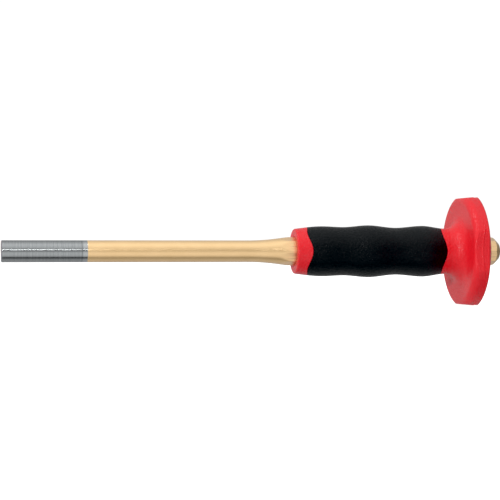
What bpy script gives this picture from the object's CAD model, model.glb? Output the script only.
import math

import bmesh
import bpy
import numpy as np
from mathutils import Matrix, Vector


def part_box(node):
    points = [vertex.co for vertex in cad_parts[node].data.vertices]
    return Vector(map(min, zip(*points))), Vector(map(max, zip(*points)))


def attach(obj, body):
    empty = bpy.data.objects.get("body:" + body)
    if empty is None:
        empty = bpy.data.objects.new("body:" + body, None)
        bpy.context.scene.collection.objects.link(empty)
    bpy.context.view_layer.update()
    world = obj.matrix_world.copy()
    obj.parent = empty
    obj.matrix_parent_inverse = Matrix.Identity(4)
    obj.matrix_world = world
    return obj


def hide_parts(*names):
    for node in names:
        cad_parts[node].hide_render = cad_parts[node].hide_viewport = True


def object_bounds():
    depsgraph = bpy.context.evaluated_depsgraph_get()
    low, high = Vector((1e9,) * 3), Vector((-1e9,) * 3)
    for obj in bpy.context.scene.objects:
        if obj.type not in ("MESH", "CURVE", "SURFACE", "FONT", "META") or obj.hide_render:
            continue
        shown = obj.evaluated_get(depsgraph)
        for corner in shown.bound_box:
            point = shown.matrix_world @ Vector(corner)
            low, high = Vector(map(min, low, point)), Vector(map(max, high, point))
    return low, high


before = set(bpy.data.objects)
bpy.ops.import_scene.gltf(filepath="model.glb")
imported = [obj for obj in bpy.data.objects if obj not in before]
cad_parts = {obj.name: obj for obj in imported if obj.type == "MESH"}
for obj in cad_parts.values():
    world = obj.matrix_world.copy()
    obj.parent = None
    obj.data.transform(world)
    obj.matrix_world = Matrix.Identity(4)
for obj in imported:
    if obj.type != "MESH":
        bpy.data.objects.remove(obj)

# The finished pin punch: a lacquered octagonal bar, a red grip core with its hand guard, and a soft black
# sleeve. Shapes are worked out in millimetres, with the tool's axis along +X from the tip to the struck
# head, and written to the meshes in metres.
MM = 0.001
cad_low, cad_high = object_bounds()

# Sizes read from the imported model
LENGTH = cad_high.x / MM
COLLAR_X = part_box("grip_core")[0].x / MM
HUB_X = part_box("grip_core")[1].x / MM
FLAT_Z = cad_high.z / MM
OCTAGON_CORNER_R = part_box("punch_bar")[1].z / MM
OCTAGON_APOTHEM = OCTAGON_CORNER_R * math.cos(math.pi / 8)

# Bar
SHAFT_R = 6.4
TIP_CHAMFER = 0.45
NECK_START_X, NECK_ARC, NECK_RISE = 143.6, 18.0, 1.18
NECK_END_X = NECK_START_X + NECK_ARC
NECK_SLOPE = 2 * NECK_RISE / NECK_ARC
CLEAR_R = OCTAGON_CORNER_R + 1.5      # a turned radius that leaves the octagon whole
HEAD_CHAMFER_X, HEAD_CONE = 295.7, 3.3
CROWN_MIDDLE = 0.38                   # share of the crown's length between its middle point and the end
STRUCK_FLAT_R = 2.5
CORNER_ROUND = 0.45
TURNED_BLEND = 0.2                    # rounding between the turned surfaces and the octagon's faces
LACQUER_X = 49.3

# Grip
COLLAR_R, COLLAR_EDGE = 13.45, 1.0
MOUTH_BEVEL = 0.7
BORE_GAP, SLEEVE_GAP = 0.03, 0.02     # clearance over the bar, and over the core's tube
GRIP_KEYS = (                         # (X, radius, slope) of the grip's crests and hollows
    (COLLAR_X + COLLAR_EDGE, COLLAR_R, 0.13),
    (189.5, 14.9, 0.0),
    (202.0, 14.45, 0.0),
    (217.6, 15.55, 0.0),
    (234.5, 14.1, 0.0),
    (251.2, 15.3, 0.0),
    (265.2, 13.75, 0.0),
)
ROOT_X, ROOT_R = GRIP_KEYS[-1][0], GRIP_KEYS[-1][1]
FRONT_WAVE = (179.3, 0.4, 1.0)        # (middle X, twofold height, fourfold height) of each colour boundary
REAR_WAVE = (262.0, 0.33, 0.74)
SLEEVE_SPAN = 84.0                    # longest run of the sleeve between the boundaries, nearly
TUBE_R = 10.6
SEAM_DEPTH, SEAM_WIDTH = 0.22, 0.3

# Guard
FACE_X = 273.8
GUARD_R = 34.6
FRONT_EDGE = 4.5
EDGE_END_X = FACE_X + FRONT_EDGE
REAR_X, REAR_EDGE, REAR_R = 283.2, 1.1, 34.4
FLAT_PROFILE = (                      # (X, height less FLAT_Z) along the drafted anti-roll flats
    (FACE_X, -0.5),
    (EDGE_END_X, -0.34),
    (281.6, -0.28),
    (REAR_X, 0.0),
)
FLAT_BLEND = 0.3
RIM_START_R = 27.0                    # the flats leave the guard inside this radius alone
BEAD_X, BEAD_HEIGHT, BEAD_WIDTH = 278.75, 0.25, 0.28
BEAD_BOW, BEAD_REACH = 1.3, 14.0      # how far back the bead bows at this distance from a flat's middle
DOME_START_R, DOME_MIDDLE = 30.5, (287.4, 22.0)
HUB_R, HUB_EDGE = 12.5, 1.5

# How many points each mesh has all round
BAR_TURNS, SLEEVE_TURNS, CORE_TURNS = 256, 288, 336
CORNER_CROWDING = 0.85

# Colours, as the two ends of each mix
STEEL = (0.27, 0.285, 0.29), (0.40, 0.415, 0.42)
STEEL_BAND, STEEL_GROOVE = (0.50, 0.515, 0.52), (0.16, 0.17, 0.175)
GOLD = (0.83, 0.54, 0.225), (0.89, 0.59, 0.265)
GOLD_SPECK, GOLD_STREAK, GOLD_WORN = (0.97, 0.72, 0.41), (0.42, 0.25, 0.11), (0.26, 0.155, 0.06)
RED = (0.75, 0.018, 0.026), (0.81, 0.022, 0.031)
RED_GRAIN = (0.93, 0.035, 0.045)
BLACK = (0.0003, 0.0005, 0.0007), (0.0009, 0.0013, 0.0018)

# Studio: (degrees above the horizon in front of the tool, brightness), where 180 is level behind it
STUDIO_RING = (
    (-180, 0.32), (-116, 0.36), (-99, 0.36), (-84, 0.24), (-73, 0.05), (-66, 0.08), (-57, 0.40), (-45, 0.60),
    (-25, 0.66), (-12, 0.60), (0, 0.38), (8, 0.17), (15, 0.15), (24, 0.36), (36, 0.60), (50, 0.70),
    (72, 0.80), (88, 0.66), (102, 0.56), (121, 0.35), (150, 0.34), (180, 0.32),
)
STUDIO_LEVEL = 1.65
STUDIO_LEFT = 0.36                    # brightness of the end that faces the tip
STUDIO_RIGHT = 0.25                   # share of the light that comes from beyond the head
BACKDROP = 1.05
TIP_MIDDLE, GUARD_NECK = 25.0, 270.0  # X of the places that the lights aim at
BLACK_LEVEL = (0.0130, 0.0115, 0.0105)

# Camera and floor, in metres
CAMERA_YAW = math.radians(11.0)
TIP_RIGHT, TIP_DEPTH = -0.14284, 0.9121      # where the tip's centre lies from the camera
EYE_HEIGHT = 0.00075
LENS, SENSOR = 114.48, 36.0
FLOOR_SIZE, FLOOR_GAP = 30.0, 0.0001


# ---------------------------------------------------------------- outlines

def fillet(before, corner, after, radius, steps):
    """Points of the arc that rounds a corner between two straight runs."""
    b, c, a = (np.array(p, float) for p in (before, corner, after))
    u, v = (b - c) / np.linalg.norm(b - c), (a - c) / np.linalg.norm(a - c)
    half = math.acos(np.clip(u @ v, -1, 1)) / 2
    reach = radius / math.tan(half)
    centre = c + (u + v) / np.linalg.norm(u + v) * radius / math.sin(half)
    start, end = c + u * reach - centre, c + v * reach - centre
    total = math.acos(np.clip(start @ end / radius**2, -1, 1))
    k = np.linspace(0, 1, steps)[:, None]
    return centre + (np.sin((1 - k) * total) * start + np.sin(k * total) * end) / math.sin(total)


def run(start, end, spacing):
    """Evenly spaced points from start up to, and without, end."""
    start, end = np.array(start, float), np.array(end, float)
    count = max(1, int(np.ceil(np.linalg.norm(end - start) / spacing)))
    return start + (end - start) * np.arange(count)[:, None] / count


def outline(corners, spacing):
    """Dense (x, r) points along corners given as (x, r, rounding radius)."""
    points, place = [], np.array(corners[0][:2], float)
    for i in range(1, len(corners) - 1):
        x, r, rounding = corners[i]
        bend = np.array([[x, r]], float)
        if rounding:
            bend = fillet(corners[i - 1][:2], (x, r), corners[i + 1][:2], rounding, 10)
        points += [run(place, bend[0], spacing), bend[:-1]]
        place = bend[-1]
    points += [run(place, corners[-1][:2], spacing), np.array([corners[-1][:2]], float)]
    return np.vstack(points)


def arc_through(a, b, c, steps):
    """Points of the circular arc from a through b to c."""
    (ax, ay), (bx, by), (cx, cy) = a, b, c
    d = 2 * (ax * (by - cy) + bx * (cy - ay) + cx * (ay - by))
    sa, sb, sc = ax * ax + ay * ay, bx * bx + by * by, cx * cx + cy * cy
    ox = (sa * (by - cy) + sb * (cy - ay) + sc * (ay - by)) / d
    oy = (sa * (cx - bx) + sb * (ax - cx) + sc * (bx - ax)) / d
    radius = math.hypot(ax - ox, ay - oy)
    first, last = math.atan2(ay - oy, ax - ox), math.atan2(cy - oy, cx - ox)
    turn = np.linspace(first, last, steps)
    return np.column_stack([ox + radius * np.cos(turn), oy + radius * np.sin(turn)])


def soft_min(a, b, blend):
    """The smaller of two radii, with the corner between them rounded over blend."""
    h = np.clip(0.5 + 0.5 * (b - a) / blend, 0, 1)
    return b + (a - b) * h - blend * h * (1 - h)


def turns(count, crowding=0.0):
    """Angles all round, crowded towards the octagon's eight corners."""
    step = np.linspace(0, 8, count, endpoint=False)
    return (step - crowding * np.sin(2 * math.pi * step) / (2 * math.pi)) * math.pi / 4


def octagon(angle, apothem, rounding):
    """Radius of an octagon with rounded corners, with a corner at angle 0."""
    half = math.pi / 8
    from_flat = np.abs(angle % (2 * half) - half)
    from_corner = half - from_flat
    centre = (apothem - rounding) / math.cos(half)
    tangent = math.atan2(rounding * math.sin(half), centre + rounding * math.cos(half))
    inside = np.maximum(rounding**2 - (centre * np.sin(from_corner)) ** 2, 0)
    arc = centre * np.cos(from_corner) + np.sqrt(inside)
    return np.where(from_corner < tangent, arc, apothem / np.cos(from_flat))


def grip_radius(x):
    """Radius of the collar, the sleeve's finger waves and the guard's neck at x."""
    keys = np.array(GRIP_KEYS)
    i = np.clip(np.searchsorted(keys[:, 0], x, side="right") - 1, 0, len(keys) - 2)
    x0, r0, s0 = keys[i].T if np.ndim(i) == 1 else np.moveaxis(keys[i], -1, 0)
    x1, r1, s1 = keys[i + 1].T if np.ndim(i) == 1 else np.moveaxis(keys[i + 1], -1, 0)
    gap = x1 - x0
    t = (x - x0) / gap
    return ((2 * t**3 - 3 * t**2 + 1) * r0 + (t**3 - 2 * t**2 + t) * gap * s0
            + (3 * t**2 - 2 * t**3) * r1 + (t**3 - t**2) * gap * s1)


def boundary(wave, angle):
    """X of a colour boundary, a wave with four crests around the grip."""
    middle, twofold, fourfold = wave
    return middle + twofold * np.cos(2 * angle) + fourfold * np.cos(4 * angle)


# ---------------------------------------------------------------- meshes

def turned_mesh(name, x, r, angle, loop):
    """Mesh of rings around the X axis, from (rings, turns) arrays of X and radius.

    A loop closes on itself. Any other skin closes on the axis at both ends.
    """
    rings, count = r.shape
    places = np.stack([x, -r * np.cos(angle), r * np.sin(angle)], axis=-1).reshape(-1, 3)
    i, j = np.meshgrid(np.arange(rings if loop else rings - 1), np.arange(count), indexing="ij")
    i, j = i.ravel(), j.ravel()
    after, side = (i + 1) % rings, (j + 1) % count
    near = [i * count + j, after * count + j]
    far = [after * count + side, i * count + side]
    faces = np.column_stack(near + far).tolist()
    if not loop:
        for ring, centre in ((0, len(places)), (rings - 1, len(places) + 1)):
            start = ring * count
            faces += [(start + k, start + (k + 1) % count, centre) for k in range(count)]
        places = np.vstack([places, [x[0, 0], 0, 0], [x[-1, 0], 0, 0]])
    mesh = bpy.data.meshes.new(name)
    mesh.from_pydata((places * MM).tolist(), [], faces)
    mesh.validate()
    outward(mesh)
    mesh.shade_smooth()
    piece = bpy.data.objects.new(name, mesh)
    bpy.context.scene.collection.objects.link(piece)
    return piece


def outward(mesh):
    """Turns every face of a closed mesh to face out."""
    work = bmesh.new()
    work.from_mesh(mesh)
    bmesh.ops.recalc_face_normals(work, faces=work.faces)
    work.to_mesh(mesh)
    work.free()


def bar_mesh():
    """Octagonal bar with the turned tip, parallel shaft, neck and head."""
    cone_start = (HEAD_CHAMFER_X - (CLEAR_R - OCTAGON_CORNER_R), CLEAR_R)
    cone_end = (HEAD_CHAMFER_X + HEAD_CONE, OCTAGON_CORNER_R - HEAD_CONE)
    arc = np.linspace(0, 1, 70)
    neck = np.column_stack([NECK_START_X + NECK_ARC * arc, SHAFT_R + NECK_RISE * arc**2])
    neck_clear_x = neck[-1][0] + (CLEAR_R - neck[-1][1]) / NECK_SLOPE
    crown_middle_x = LENGTH - CROWN_MIDDLE * (LENGTH - cone_end[0])
    crown_middle = (crown_middle_x, (cone_end[1] + STRUCK_FLAT_R) / 2)
    crown = arc_through(cone_end, crown_middle, (LENGTH, STRUCK_FLAT_R), 16)
    tip = [(0, 0.6, 0), (0, SHAFT_R - TIP_CHAMFER, 0.1), (TIP_CHAMFER, SHAFT_R, 0.15), (2, SHAFT_R, 0)]
    profile = np.vstack([
        outline(tip, 0.6),
        run((2, SHAFT_R), neck[0], 2.0)[1:],
        neck,
        run(neck[-1], (neck_clear_x, CLEAR_R), 0.22)[1:],
        run((neck_clear_x, CLEAR_R), cone_start, 5.0),
        run(cone_start, cone_end, 0.14)[:-1],
        crown[1:],
        run((LENGTH, STRUCK_FLAT_R), (LENGTH, 0.4), 0.5)[1:],
    ])
    angle = turns(BAR_TURNS, CORNER_CROWDING)
    x = np.repeat(profile[:, :1], len(angle), axis=1)
    r = soft_min(profile[:, 1:], octagon(angle, OCTAGON_APOTHEM, CORNER_ROUND)[None, :], TURNED_BLEND)
    return turned_mesh("lacquered_bar", x, r, angle, loop=False)


def seam_dip(distance):
    """How far a surface falls away beside a colour boundary."""
    return SEAM_DEPTH * np.clip(1 - distance / SEAM_WIDTH, 0, 1) ** 2


def sleeve_mesh():
    """Soft sleeve: finger waves between the two boundaries, end walls, and the bore over the core's tube."""
    angle = turns(SLEEVE_TURNS)
    front, rear = boundary(FRONT_WAVE, angle), boundary(REAR_WAVE, angle)
    edge = np.array([0.0, 0.05, 0.1, 0.16, 0.22, 0.3]) / SLEEVE_SPAN
    inset = 0.6 / SLEEVE_SPAN
    along = np.concatenate([edge, np.linspace(inset, 1 - inset, 200), 1 - edge[::-1]])[:, None]
    x = front + (rear - front) * along
    r = grip_radius(x) - seam_dip(np.minimum(x - front, rear - x))
    inner = np.full((1, len(angle)), TUBE_R + SLEEVE_GAP)
    hidden = np.linspace(1, 0, 8)[:, None]
    x = np.vstack([x, front + (rear - front) * hidden])
    r = np.vstack([r, np.repeat(inner, len(hidden), axis=0)])
    return turned_mesh("soft_sleeve", x, r, angle, loop=True)


def flattened(x, r, angle):
    """The guard's round rim cut by its four anti-roll flats, with a fine bead at the parting line.

    The flats cut straight into the front. Behind it they draw the whole rear face in with them.
    """
    round_r = GUARD_R - BEAD_HEIGHT
    reach = np.maximum(np.abs(np.cos(angle)), np.abs(np.sin(angle)))
    flat = (FLAT_Z + np.interp(x, *np.transpose(FLAT_PROFILE))) / reach
    front = soft_min(r, flat, FLAT_BLEND)
    rim = soft_min(np.full_like(r, round_r), flat, FLAT_BLEND)
    drawn_in = (rim - RIM_START_R) / (round_r - RIM_START_R)
    rear = np.where(r > RIM_START_R, RIM_START_R + (r - RIM_START_R) * drawn_in, r)
    cut = np.where(x <= EDGE_END_X, front, rear)
    along_flat = cut * np.minimum(np.abs(np.cos(angle)), np.abs(np.sin(angle)))
    line = BEAD_X + BEAD_BOW * (along_flat / BEAD_REACH) ** 2
    fade = np.clip(BEAD_REACH + 2 - along_flat, 0, 1) * np.clip((cut - RIM_START_R) / 4, 0, 1)
    return cut + BEAD_HEIGHT * fade * np.exp(-(((x - line) / BEAD_WIDTH) ** 2))


def core_mesh():
    """Grip core: collar, tube, neck, hand guard and octagonal bore, as one closed skin."""
    angle = turns(CORE_TURNS)
    ones = np.ones_like(angle)
    bore = octagon(angle, OCTAGON_APOTHEM + BORE_GAP, 0.2)
    mouth = octagon(angle, OCTAGON_APOTHEM + MOUTH_BEVEL, 0.4)
    front, rear = boundary(FRONT_WAVE, angle), boundary(REAR_WAVE, angle)
    xs, rs = [], []

    def ring(x, r):
        xs.append(x * ones)
        rs.append(r * ones)

    # Bore mouth and collar
    ring(COLLAR_X + MOUTH_BEVEL, bore)
    ring(COLLAR_X + 0.08, mouth - 0.08)
    ring(COLLAR_X, mouth + 0.05)
    collar_end = (COLLAR_X + COLLAR_EDGE + 0.1, COLLAR_R + 0.013, 0)
    edge = outline([(COLLAR_X, 10.2, 0), (COLLAR_X, COLLAR_R, COLLAR_EDGE), collar_end], 0.3)
    ring(COLLAR_X, (mouth + edge[0][1]) / 2)
    for x, r in edge:
        ring(x, r)
    start = edge[-1][0]
    for k in np.concatenate([np.linspace(0.06, 0.93, 22), np.linspace(0.945, 1, 7)]):
        x = start + (front - start) * k
        ring(x, grip_radius(x) - seam_dip(front - x))

    # Tube under the sleeve, then the guard's neck and its flare
    for k in np.linspace(0, 1, 9):
        ring(front + (rear - front) * k, TUBE_R)
    for k in np.concatenate([np.linspace(0, 0.1, 7), np.linspace(0.14, 1, 12)]):
        x = rear + (ROOT_X - rear) * k
        ring(x, grip_radius(x) - seam_dip(x - rear))
    flare = FACE_X - ROOT_X
    for a in np.linspace(0, math.pi / 2, 40)[1:]:
        ring(ROOT_X + flare * math.sin(a), ROOT_R + flare * (1 - math.cos(a)))

    # Guard: face, rim, domed rear and hub
    rim_r = GUARD_R - BEAD_HEIGHT
    face = outline([(FACE_X, ROOT_R + flare, 0), (FACE_X, rim_r, FRONT_EDGE), (EDGE_END_X, rim_r, 0)], 0.45)
    dome_start = (REAR_X + 0.7, DOME_START_R - 1.2, 0)
    rear_edge = [(REAR_X, REAR_R, REAR_EDGE), (REAR_X, DOME_START_R, 0.8), dome_start]
    rim = outline([(EDGE_END_X + 0.1, rim_r, 0)] + rear_edge, 0.12)
    for x, r in np.vstack([face[1:-1], rim]):
        ring(x, flattened(x * ones, r * ones, angle))
    hub_start = (HUB_X - HUB_EDGE, HUB_R)
    for x, r in arc_through(tuple(rim[-1]), DOME_MIDDLE, hub_start, 28)[1:]:
        ring(x, r)
    hub = [(*hub_start, 0), (HUB_X, HUB_R - 0.2, HUB_EDGE * 0.8), (HUB_X, 10.0, 0)]
    for x, r in outline(hub, 0.4)[1:]:
        ring(x, r)

    # Rear mouth and the bore back to the front
    ring(HUB_X, mouth + 0.05)
    ring(HUB_X - 0.08, mouth - 0.08)
    ring(HUB_X - MOUTH_BEVEL, bore)
    for k in np.linspace(0, 1, 6)[1:-1]:
        ring(HUB_X - MOUTH_BEVEL + (COLLAR_X + 2 * MOUTH_BEVEL - HUB_X) * k, bore)
    return turned_mesh("red_grip_core", np.array(xs), np.array(rs), angle, loop=True)


# ---------------------------------------------------------------- materials

class Nodes:
    """Short helpers to build a node tree over one kind of coordinates."""

    def __init__(self, tree, coordinates="Object"):
        self.tree = tree
        self.shader = tree.nodes.get("Principled BSDF")
        self.place = tree.nodes.new("ShaderNodeTexCoord").outputs[coordinates]

    def link(self, source, target):
        self.tree.links.new(source, target)

    def value(self, socket, content):
        if hasattr(content, "is_linked"):
            self.link(content, socket)
        else:
            socket.default_value = content

    def math(self, operation, a, b=0.0, clamp=False):
        node = self.tree.nodes.new("ShaderNodeMath")
        node.operation, node.use_clamp = operation, clamp
        self.value(node.inputs[0], a)
        self.value(node.inputs[1], b)
        return node.outputs[0]

    def ranged(self, source, low, high, to_low=0.0, to_high=1.0):
        node = self.tree.nodes.new("ShaderNodeMapRange")
        node.clamp = True
        self.link(source, node.inputs["Value"])
        names = ("From Min", "From Max", "To Min", "To Max")
        for name, content in zip(names, (low, high, to_low, to_high)):
            self.value(node.inputs[name], content)
        return node.outputs["Result"]

    def scaled(self, stretch):
        node = self.tree.nodes.new("ShaderNodeMapping")
        self.link(self.place, node.inputs["Vector"])
        node.inputs["Scale"].default_value = stretch
        return node.outputs["Vector"]

    def noise(self, scale, detail=2.0, roughness=0.5, stretch=None):
        """Noise with about scale features per metre."""
        node = self.tree.nodes.new("ShaderNodeTexNoise")
        self.link(self.scaled(stretch) if stretch else self.place, node.inputs["Vector"])
        node.inputs["Scale"].default_value = scale
        node.inputs["Detail"].default_value = detail
        node.inputs["Roughness"].default_value = roughness
        return node.outputs["Fac"]

    def cells(self, scale):
        """Rounded cells, about scale of them per metre."""
        node = self.tree.nodes.new("ShaderNodeTexVoronoi")
        self.link(self.place, node.inputs["Vector"])
        node.inputs["Scale"].default_value = scale
        return node.outputs["Distance"]

    def mix(self, factor, a, b):
        """Mix of two colours."""
        node = self.tree.nodes.new("ShaderNodeMix")
        node.data_type = "RGBA"
        self.value(node.inputs["Factor"], factor)
        self.value(node.inputs["A"], a if hasattr(a, "is_linked") else (*a, 1))
        self.value(node.inputs["B"], b if hasattr(b, "is_linked") else (*b, 1))
        return node.outputs["Result"]

    def blend(self, factor, a, b):
        """Mix of two numbers."""
        node = self.tree.nodes.new("ShaderNodeMix")
        for name, content in (("Factor", factor), ("A", a), ("B", b)):
            self.value(node.inputs[name], content)
        return node.outputs["Result"]

    def bump(self, height, distance, strength=1.0, under=None):
        """Bumps of this distance in metres, over the bumps under them."""
        node = self.tree.nodes.new("ShaderNodeBump")
        node.inputs["Strength"].default_value = strength
        node.inputs["Distance"].default_value = distance
        self.link(height, node.inputs["Height"])
        if under is not None:
            self.link(under, node.inputs["Normal"])
        return node.outputs["Normal"]

    def axis(self, name):
        node = self.tree.nodes.new("ShaderNodeSeparateXYZ")
        self.link(self.place, node.inputs[0])
        return node.outputs[name]


def new_material(name):
    material = bpy.data.materials.new(name)
    material.use_nodes = True
    return material


def lacquered_steel():
    """Gold lacquer on steel, with the tip left as ground steel that shows fine grinding rings."""
    material = new_material("lacquered_steel")
    n = Nodes(material.node_tree)
    along = n.axis("X")
    wander = n.ranged(n.noise(900.0, 3.0), 0.0, 1.0, (LACQUER_X - 0.1) * MM, (LACQUER_X + 0.1) * MM)
    lacquer = n.math("MULTIPLY", n.math("SUBTRACT", along, wander), 12000.0, clamp=True)

    # Ground tip: rings all along, then a groove and a paler band in front of the lacquer's edge
    rings = n.noise(1.0, 3.0, 0.7, stretch=(2600.0, 25.0, 25.0))
    fine_rings = n.noise(1.0, 2.0, 0.6, stretch=(7000.0, 60.0, 60.0))
    steel = n.mix(n.ranged(rings, 0.3, 0.7), *STEEL)
    band = n.ranged(along, (LACQUER_X - 3.0) * MM, (LACQUER_X - 2.2) * MM)
    groove = n.math("COMPARE", along, (LACQUER_X - 3.3) * MM)
    groove.node.inputs[2].default_value = 0.35 * MM
    steel = n.mix(n.math("MULTIPLY", band, 0.5), steel, STEEL_BAND)
    steel = n.mix(n.math("MULTIPLY", groove, 0.35), steel, STEEL_GROOVE)

    # Lacquer: cloudy and speckled, streaked along the drawn octagon, and worn at the head
    cloud = n.noise(120.0, 4.0, 0.6)
    speckle = n.noise(2600.0, 2.0, 0.6)
    drawn = n.ranged(along, (NECK_END_X + 4) * MM, (NECK_END_X + 9) * MM)
    streaks = n.noise(1.0, 4.0, 0.65, stretch=(60.0, 850.0, 850.0))
    gold = n.mix(n.ranged(cloud, 0.3, 0.7), *GOLD)
    gold = n.mix(n.ranged(speckle, 0.35, 0.75, 0.0, 0.25), gold, GOLD_SPECK)
    streaked = n.math("MULTIPLY", n.ranged(streaks, 0.52, 0.72), drawn)
    gold = n.mix(n.math("MULTIPLY", streaked, 0.8), gold, GOLD_STREAK)
    worn = n.ranged(along, (HEAD_CHAMFER_X + HEAD_CONE * 0.5) * MM, LENGTH * MM)
    worn = n.math("MULTIPLY", worn, n.ranged(n.noise(1100.0, 3.0, 0.65), 0.35, 0.6, 0.25, 0.9))
    gold = n.mix(worn, gold, GOLD_WORN)

    n.link(n.mix(lacquer, steel, gold), n.shader.inputs["Base Color"])
    n.link(n.ranged(lacquer, 0.0, 1.0, 1.0, 0.62), n.shader.inputs["Metallic"])
    steel_rough = n.ranged(fine_rings, 0.3, 0.7, 0.16, 0.24)
    gold_rough = n.ranged(speckle, 0.3, 0.7, 0.28, 0.36)
    n.link(n.blend(lacquer, steel_rough, gold_rough), n.shader.inputs["Roughness"])
    n.link(n.math("MULTIPLY", lacquer, 0.9), n.shader.inputs["Coat Weight"])
    n.shader.inputs["Coat IOR"].default_value = 1.8
    n.shader.inputs["Coat Roughness"].default_value = 0.3

    bare = n.math("SUBTRACT", 1.0, lacquer)
    ground = n.math("MULTIPLY", n.math("ADD", rings, n.math("MULTIPLY", fine_rings, 0.6)), bare)
    peel = n.math("MULTIPLY", n.noise(700.0, 3.0, 0.6), lacquer)
    skin = n.bump(peel, 0.000015, 0.7)
    skin = n.bump(n.math("MULTIPLY", streaks, drawn), 0.00008, 0.8, skin)
    skin = n.bump(ground, 0.000006, 1.0, skin)
    n.link(n.bump(lacquer, 0.00003, 1.0, skin), n.shader.inputs["Normal"])
    return material


def moulded_red():
    """Hard red plastic with a fine spark-eroded texture."""
    material = new_material("moulded_red")
    n = Nodes(material.node_tree)
    grain = n.ranged(n.noise(1050.0, 2.0, 0.55), 0.36, 0.64)
    fine = n.noise(2600.0, 2.0, 0.6)
    cloud = n.noise(45.0, 3.0, 0.5)
    red = n.mix(n.ranged(cloud, 0.3, 0.7), *RED)
    red = n.mix(n.math("MULTIPLY", grain, 0.22), red, RED_GRAIN)
    n.link(red, n.shader.inputs["Base Color"])
    n.link(n.ranged(fine, 0.3, 0.7, 0.18, 0.28), n.shader.inputs["Roughness"])
    n.shader.inputs["Specular IOR Level"].default_value = 0.33
    skin = n.bump(grain, 0.00012, 1.0)
    n.link(n.bump(fine, 0.00005, 0.7, skin), n.shader.inputs["Normal"])
    return material


def soft_black():
    """Soft black sleeve with a fine matt grain."""
    material = new_material("soft_black")
    n = Nodes(material.node_tree)
    grain = n.ranged(n.noise(1100.0, 3.0, 0.55), 0.36, 0.64)
    fine = n.cells(2200.0)
    cloud = n.noise(60.0, 3.0, 0.5)
    black = n.mix(n.ranged(cloud, 0.3, 0.7), *BLACK)
    n.link(black, n.shader.inputs["Base Color"])
    n.link(n.ranged(grain, 0.0, 1.0, 0.28, 0.46), n.shader.inputs["Roughness"])
    n.shader.inputs["Specular IOR Level"].default_value = 0.25
    skin = n.bump(grain, 0.00016, 1.0)
    n.link(n.bump(fine, 0.00006, 0.7, skin), n.shader.inputs["Normal"])
    return material


# ---------------------------------------------------------------- stage

def camera():
    """Long lens at the height of the tool's axis, turned so that the tip is nearer than the head."""
    right = Vector((math.cos(CAMERA_YAW), -math.sin(CAMERA_YAW), 0))
    ahead = Vector((math.sin(CAMERA_YAW), math.cos(CAMERA_YAW), 0))
    data = bpy.data.cameras.new("camera")
    data.sensor_width, data.lens = SENSOR, LENS
    data.clip_start, data.clip_end = 0.01, 100.0
    eye = bpy.data.objects.new("camera", data)
    eye.location = -TIP_RIGHT * right - TIP_DEPTH * ahead + Vector((0, 0, EYE_HEIGHT))
    eye.rotation_mode = "QUATERNION"
    eye.rotation_quaternion = ahead.to_track_quat("-Z", "Y")
    bpy.context.scene.collection.objects.link(eye)
    bpy.context.scene.camera = eye


def studio():
    """Soft surroundings in bands around the tool's axis, even beyond the tip and dim beyond the head."""
    world = bpy.data.worlds.new("studio")
    bpy.context.scene.world = world
    world.use_nodes = True
    world.node_tree.nodes.clear()
    n = Nodes(world.node_tree, "Generated")
    turn = n.math("ARCTAN2", n.axis("Z"), n.math("MULTIPLY", n.axis("Y"), -1.0))
    ramp = n.tree.nodes.new("ShaderNodeValToRGB")
    n.link(n.ranged(turn, -math.pi, math.pi), ramp.inputs["Fac"])
    stops = ramp.color_ramp.elements
    stops.remove(stops[1])
    for k, (degrees, bright) in enumerate(STUDIO_RING):
        place = (degrees + 180) / 360
        stop = stops[0] if k == 0 else stops.new(place)
        stop.position = place
        stop.color = (bright, bright, bright, 1)
    left = n.ranged(n.axis("X"), -0.18, -0.5)
    light = n.mix(left, ramp.outputs["Color"], (STUDIO_LEFT,) * 3)
    right = n.ranged(n.axis("X"), 0.5, 0.9, STUDIO_LEVEL, STUDIO_LEVEL * STUDIO_RIGHT)
    lit, white = (n.tree.nodes.new("ShaderNodeBackground") for _ in range(2))
    n.link(light, lit.inputs["Color"])
    n.link(right, lit.inputs["Strength"])
    white.inputs["Color"].default_value = (1, 1, 1, 1)
    white.inputs["Strength"].default_value = BACKDROP
    pick = n.tree.nodes.new("ShaderNodeMixShader")
    n.link(n.tree.nodes.new("ShaderNodeLightPath").outputs["Is Camera Ray"], pick.inputs["Fac"])
    n.link(lit.outputs[0], pick.inputs[1])
    n.link(white.outputs[0], pick.inputs[2])
    n.link(pick.outputs[0], n.tree.nodes.new("ShaderNodeOutputWorld").inputs["Surface"])


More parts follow.
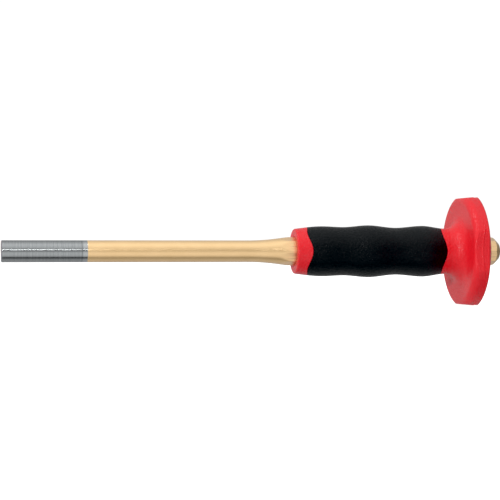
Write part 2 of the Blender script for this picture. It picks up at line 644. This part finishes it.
def softbox(name, target_x, azimuth, elevation, distance, width, height, power):
    """Area light aimed at a point of the axis. Azimuth turns from in front of the tool towards its head."""
    target = Vector((target_x * MM, 0, 0))
    a, e = math.radians(azimuth), math.radians(elevation)
    way = Vector((math.sin(a) * math.cos(e), -math.cos(a) * math.cos(e), math.sin(e)))
    data = bpy.data.lights.new(name, "AREA")
    data.shape, data.size, data.size_y, data.energy = "RECTANGLE", width, height, power
    lamp = bpy.data.objects.new(name, data)
    lamp.location = target + way * distance
    lamp.rotation_mode = "QUATERNION"
    lamp.rotation_quaternion = (-way).to_track_quat("-Z", "Y")
    bpy.context.scene.collection.objects.link(lamp)


def floor():
    """Pale floor that the guard stands on."""
    level = cad_low.z - FLOOR_GAP
    mesh = bpy.data.meshes.new("floor")
    corners = [(x * FLOOR_SIZE, y * FLOOR_SIZE, level) for x, y in ((-1, -1), (1, -1), (1, 1), (-1, 1))]
    mesh.from_pydata(corners, [], [(0, 1, 2, 3)])
    ground = bpy.data.objects.new("floor", mesh)
    bpy.context.scene.collection.objects.link(ground)
    material = new_material("pale_floor")
    n = Nodes(material.node_tree)
    n.shader.inputs["Base Color"].default_value = (0.6, 0.6, 0.6, 1)
    n.shader.inputs["Roughness"].default_value = 0.9
    n.shader.inputs["Specular IOR Level"].default_value = 0.0
    n.shader.inputs["Emission Color"].default_value = (1, 1, 1, 1)
    n.shader.inputs["Emission Strength"].default_value = 0.93
    mesh.materials.append(material)
    ground.visible_glossy = False
    ground.visible_diffuse = False


def finish_piece(piece, material, node):
    """Gives a piece its material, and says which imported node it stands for."""
    piece.data.materials.append(material)
    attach(piece, "root")
    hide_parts(node)


# ---------------------------------------------------------------- scene

view = bpy.context.scene.view_settings
view.view_transform = "Standard"
view.use_curve_mapping = True
view.curve_mapping.black_level = BLACK_LEVEL
camera()
studio()
softbox("tip_light", TIP_MIDDLE, azimuth=3.6, elevation=16.5, distance=1.2,
        width=0.12, height=0.08, power=0.36)
softbox("left_light", GUARD_NECK, azimuth=-55.0, elevation=10.0, distance=1.6,
        width=0.14, height=0.14, power=7.5)
softbox("upper_left_light", GUARD_NECK, azimuth=-78.0, elevation=50.0, distance=1.2,
        width=0.4, height=0.4, power=3.0)
floor()
finish_piece(bar_mesh(), lacquered_steel(), "punch_bar")
finish_piece(core_mesh(), moulded_red(), "grip_core")
finish_piece(sleeve_mesh(), soft_black(), "grip_sleeve")
